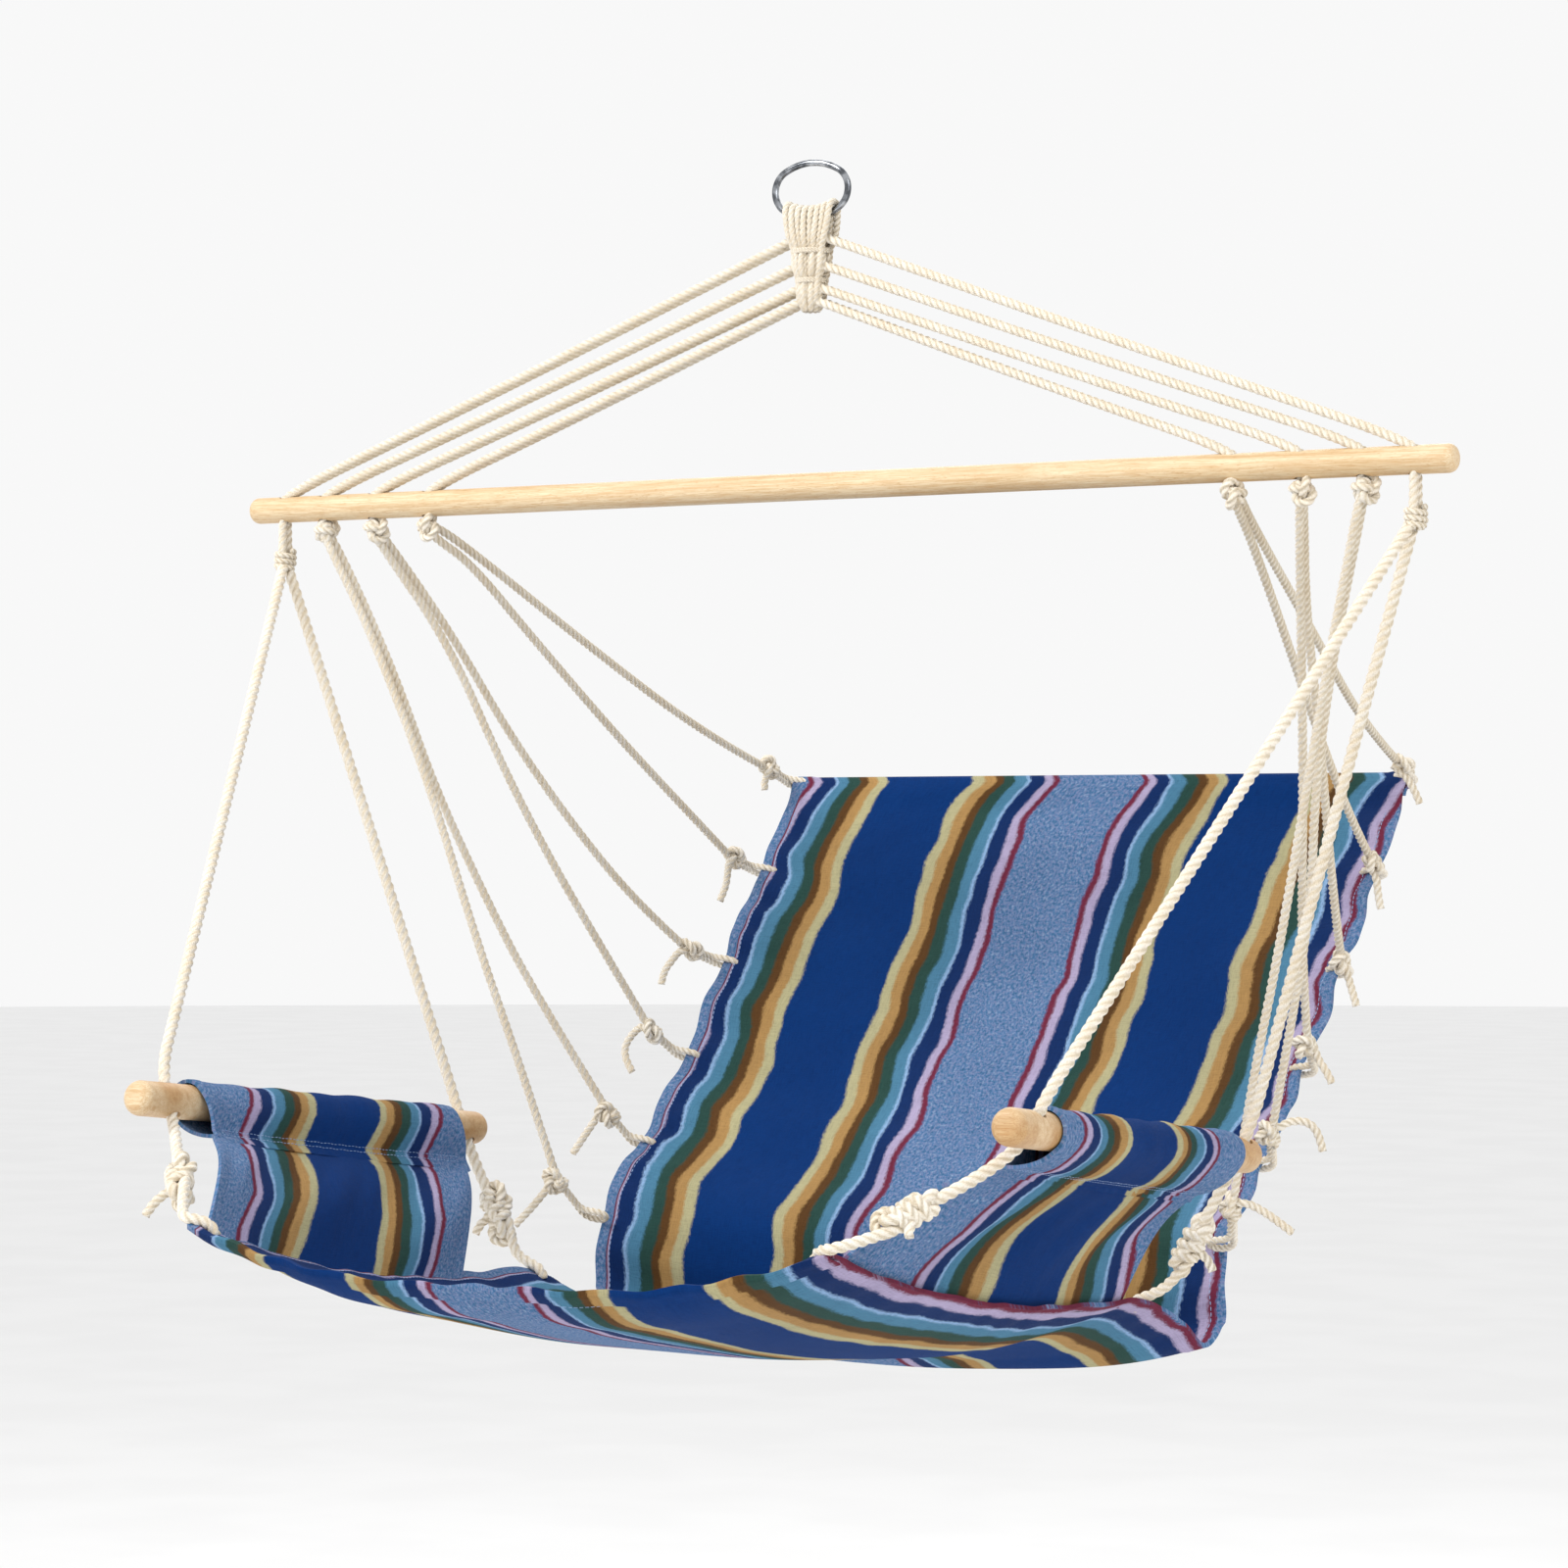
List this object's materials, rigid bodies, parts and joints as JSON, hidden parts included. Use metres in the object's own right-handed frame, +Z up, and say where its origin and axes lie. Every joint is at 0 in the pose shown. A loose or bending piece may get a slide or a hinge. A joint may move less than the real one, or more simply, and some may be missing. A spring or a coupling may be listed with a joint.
{
  "type": "hanging hammock chair",
  "caption": "Hammock chair: striped cotton seat and back hung by cords from a wooden spreader bar and a steel ring, with wooden armrest rods in cloth sleeves.",
  "frame": {"origin": "the inside top of the hanging ring, where a hook carries it", "axes": "+Z up; +X along the spreader bar to the sitter's left; -Y the way the sitter faces"},
  "size_m": [1, 0.889, 0.883],
  "materials": {
    "ring_steel": "polished",
    "pale_wood": "smooth, oiled",
    "hem_wood": "plain",
    "striped_cloth": "woven cotton, striped",
    "cotton_cord": "twisted cotton"
  },
  "bodies": {
    "ring": {"hanging_ring": "ring_steel"},
    "crown_loops": {"ring_loops": "cotton_cord"},
    "hanger": {"crown_cords": "cotton_cord", "crown_lashing_lower": "cotton_cord", "crown_lashing_middle": "cotton_cord", "crown_lashing_upper": "cotton_cord", "spreader_bar": "pale_wood", "stopper_knots_left": "cotton_cord", "stopper_knots_right": "cotton_cord", "suspension_cords_left_1": "cotton_cord", "suspension_cords_left_2": "cotton_cord", "suspension_cords_left_3": "cotton_cord", "suspension_cords_left_4": "cotton_cord", "suspension_cords_right_1": "cotton_cord", "suspension_cords_right_2": "cotton_cord", "suspension_cords_right_3": "cotton_cord", "suspension_cords_right_4": "cotton_cord"},
    "seat": {"arm_cloth_left": "striped_cloth", "arm_cloth_right": "striped_cloth", "arm_cord_front_left": "cotton_cord", "arm_cord_front_right": "cotton_cord", "arm_cord_knots_left": "cotton_cord", "arm_cord_knots_right": "cotton_cord", "arm_cord_rear_left": "cotton_cord", "arm_cord_rear_right": "cotton_cord", "armrest_rod_left": "pale_wood", "armrest_rod_right": "pale_wood", "back_cord_left_1": "cotton_cord", "back_cord_left_2": "cotton_cord", "back_cord_left_3": "cotton_cord", "back_cord_left_4": "cotton_cord", "back_cord_left_5": "cotton_cord", "back_cord_left_6": "cotton_cord", "back_cord_right_1": "cotton_cord", "back_cord_right_2": "cotton_cord", "back_cord_right_3": "cotton_cord", "back_cord_right_4": "cotton_cord", "back_cord_right_5": "cotton_cord", "back_cord_right_6": "cotton_cord", "back_hem_rod": "hem_wood", "edge_knots_left": "cotton_cord", "edge_knots_right": "cotton_cord", "seat_and_back_cloth": "striped_cloth"}
  },
  "joints": [
    {"name": "ring_sway", "type": "hinge", "parent": "ring", "child": "crown_loops", "pos_m": [0, 0, 0.0077], "axis": [0, 1, 0], "range_deg": [-10, 10]},
    {"name": "ring_swing", "type": "hinge", "parent": "crown_loops", "child": "hanger", "pos_m": [0, 0, -0.0358], "axis": [1, 0, 0], "range_deg": [-25, 25]},
    {"name": "seat_rock", "type": "hinge", "parent": "hanger", "child": "seat", "pos_m": [0, 0, -0.251], "axis": [1, 0, 0], "range_deg": [-20, 20]}
  ]
}
